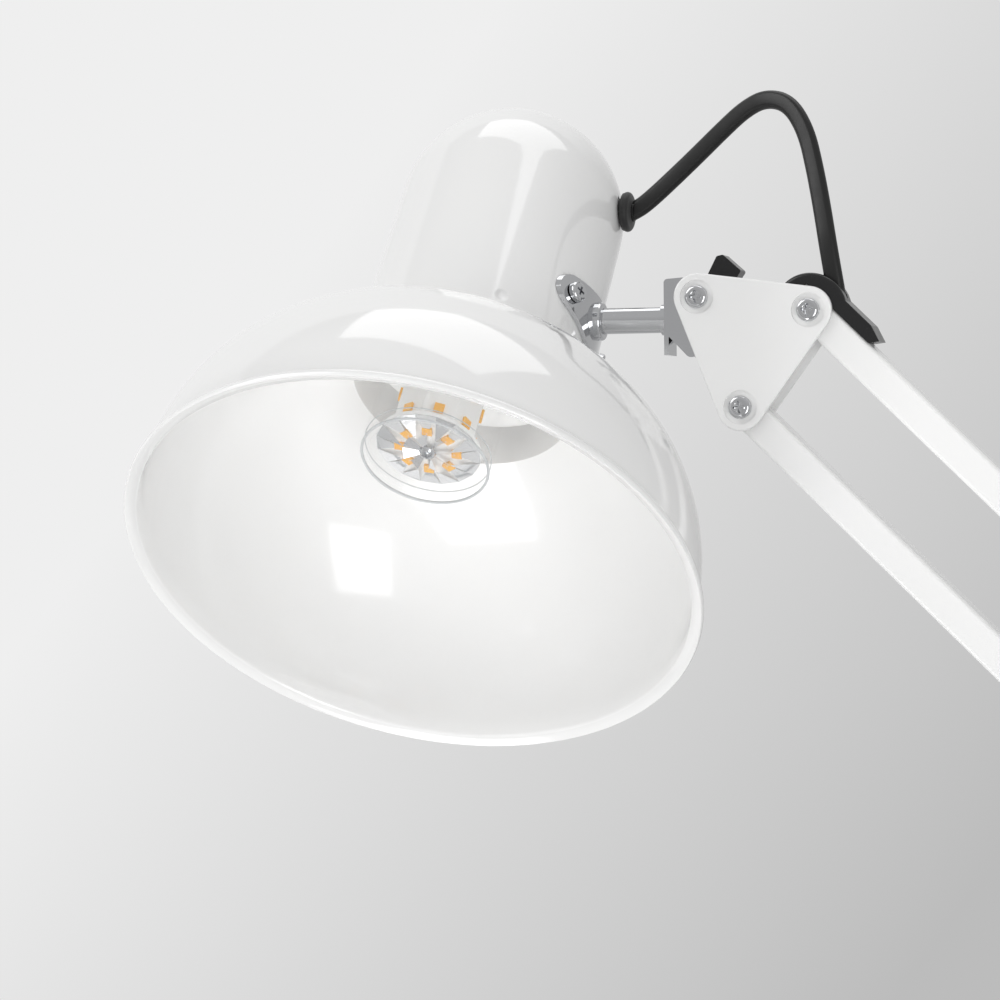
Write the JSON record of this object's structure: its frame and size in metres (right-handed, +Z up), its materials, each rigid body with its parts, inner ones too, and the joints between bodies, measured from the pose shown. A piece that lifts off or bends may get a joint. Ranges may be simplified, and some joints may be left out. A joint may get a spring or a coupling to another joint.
{
  "type": "swing arm desk lamp",
  "caption": "Clamp-on desk lamp with two sprung parallelogram arms, a tilting and swivelling bell shade with a tubular neck, and a cord with a switch and plug.",
  "frame": {"origin": "on the base's swivel axis, at the table top that the clamp's upper pad rests on", "axes": "+Z up, arms move in the XZ plane with the head towards -X, screw heads face -Y and nuts face +Y"},
  "size_m": [0.5202, 0.2008, 0.892],
  "materials": {
    "white_enamel": "gloss",
    "white_shade": "gloss enamel",
    "chrome": "polished",
    "zinc_steel": "satin",
    "black_plastic": "satin",
    "black_pvc": "satin",
    "black_rubber": "matte",
    "brass": "satin",
    "white_plastic": "gloss",
    "clear_plastic": "clear",
    "led_phosphor": "satin"
  },
  "bodies": {
    "clamp": {"clamp_frame": "white_enamel", "clamp_top_pad": "black_rubber", "cord_lead": "black_pvc", "cord_tail": "black_pvc", "cord_coil": "black_pvc", "switch_case": "black_plastic", "plug_body": "black_plastic"},
    "base": {"base_bracket": "white_enamel", "base_screws": "zinc_steel", "base_nuts": "zinc_steel", "base_spring_pin": "zinc_steel", "lower_springs": "zinc_steel"},
    "lower_main": {"lower_tube_rear": "white_enamel", "lower_cord_bushes": "black_plastic", "lower_cord": "black_pvc", "lower_spring_studs": "zinc_steel"},
    "lower_parallel": {"lower_tube_front": "white_enamel"},
    "elbow": {"elbow_plate_front": "white_enamel", "elbow_plate_back": "white_enamel", "elbow_screws": "zinc_steel", "elbow_nuts": "zinc_steel", "elbow_washers": "zinc_steel", "elbow_spring_pin": "zinc_steel", "upper_springs": "zinc_steel", "cord_elbow_loop": "black_pvc"},
    "upper_main": {"upper_tube_top": "white_enamel", "upper_spring_studs": "zinc_steel", "upper_cord_bush": "black_plastic", "upper_cord": "black_pvc", "cord_guide": "black_plastic", "cord_head_loop": "black_pvc"},
    "upper_parallel": {"upper_tube_bottom": "white_enamel"},
    "head_plates": {"head_plate_front": "white_enamel", "head_plate_back": "white_enamel", "head_plate_screws": "zinc_steel", "tilt_screw": "zinc_steel", "head_plate_nuts": "zinc_steel", "head_plate_washers": "zinc_steel"},
    "fork": {"fork": "chrome"},
    "head": {"stem": "chrome", "saddle": "chrome", "saddle_screws": "chrome", "shade_bell": "white_shade", "shade_neck": "white_shade", "cord_grommet": "black_rubber", "lampholder_body": "black_plastic", "lampholder_shell": "brass", "lampholder_strap": "zinc_steel", "bulb_cap": "zinc_steel", "bulb_base": "white_plastic", "bulb_cover": "clear_plastic", "led_disc": "white_plastic", "led_core": "white_plastic", "led_chips": "led_phosphor", "neck_cord": "black_pvc"},
    "tilt_nut": {"tilt_wing_nut": "black_plastic"},
    "clamp_pad": {"clamp_foot": "black_plastic"},
    "clamp_screw": {"clamp_screw": "zinc_steel", "clamp_tbar": "zinc_steel"},
    "rocker": {"switch_rocker": "black_plastic"}
  },
  "joints": [
    {"name": "base_swivel", "type": "hinge", "parent": "clamp", "child": "base", "pos_m": [0, 0, 0.04], "axis": [0, 0, 1], "range_deg": [-180, 180], "deforming": ["cord_lead"]},
    {"name": "lower_arm", "type": "hinge", "parent": "base", "child": "lower_main", "pos_m": [0.017, 0, 0.058], "axis": [0, 1, 0], "range_deg": [-50, 25], "deforming": ["lower_springs", "cord_elbow_loop", "cord_lead", "cord_head_loop"]},
    {"name": "lower_link", "type": "hinge", "parent": "base", "child": "lower_parallel", "pos_m": [-0.017, 0, 0.058], "axis": [0, 1, 0], "range_deg": [-50, 25], "deforming": ["lower_springs", "cord_elbow_loop", "cord_lead"]},
    {"name": "elbow_level", "type": "hinge", "parent": "lower_main", "child": "elbow", "pos_m": [0.14013, 0, 0.39629], "axis": [0, 1, 0], "range_deg": [-25, 50], "deforming": ["cord_elbow_loop"]},
    {"name": "upper_arm", "type": "hinge", "parent": "elbow", "child": "upper_main", "pos_m": [0.12013, 0, 0.44329], "axis": [0, 1, 0], "range_deg": [-45, 40], "deforming": ["upper_springs", "cord_elbow_loop", "cord_head_loop"]},
    {"name": "upper_link", "type": "hinge", "parent": "elbow", "child": "upper_parallel", "pos_m": [0.09989, 0, 0.41493], "axis": [0, 1, 0], "range_deg": [-45, 40], "deforming": ["upper_springs", "cord_elbow_loop"]},
    {"name": "head_level", "type": "hinge", "parent": "upper_main", "child": "head_plates", "pos_m": [-0.15414, 0, 0.7063], "axis": [0, 1, 0], "range_deg": [-40, 45], "deforming": ["cord_head_loop"]},
    {"name": "head_tilt", "type": "hinge", "parent": "head_plates", "child": "fork", "pos_m": [-0.18757, 0, 0.71059], "axis": [0, 1, 0], "range_deg": [-25, 35], "deforming": ["cord_head_loop"]},
    {"name": "head_swivel", "type": "hinge", "parent": "fork", "child": "head", "pos_m": [-0.1875, 0, 0.70429], "axis": [-0.9999, 0, -0.0105], "range_deg": [-110, 45], "deforming": ["cord_head_loop"]},
    {"name": "tilt_lock", "type": "hinge", "parent": "head_plates", "child": "tilt_nut", "pos_m": [-0.18757, 0, 0.71059], "axis": [0, 1, 0], "range_deg": [-180, 180]},
    {"name": "clamp_feed", "type": "slide", "parent": "clamp", "child": "clamp_pad", "axis": [0, 0, 1], "range_m": [-0.02, 0.02]},
    {"name": "clamp_turn", "type": "hinge", "parent": "clamp_pad", "child": "clamp_screw", "pos_m": [-0.006, 0, -0.06], "axis": [0, 0, 1], "range_deg": [-3600, 3600]},
    {"name": "switch_press", "type": "hinge", "parent": "clamp", "child": "rocker", "pos_m": [-0.089, 0.062, 0.011], "axis": [0, 1, 0], "range_deg": [0, 18]}
  ],
  "couplings": [
    {"joint": "lower_link", "follows": "lower_arm", "ratio": 1},
    {"joint": "elbow_level", "follows": "lower_arm", "ratio": -1},
    {"joint": "upper_link", "follows": "upper_arm", "ratio": 1},
    {"joint": "head_level", "follows": "upper_arm", "ratio": -1},
    {"joint": "clamp_feed", "follows": "clamp_turn", "m_per_rad": 0.00031831}
  ]
}
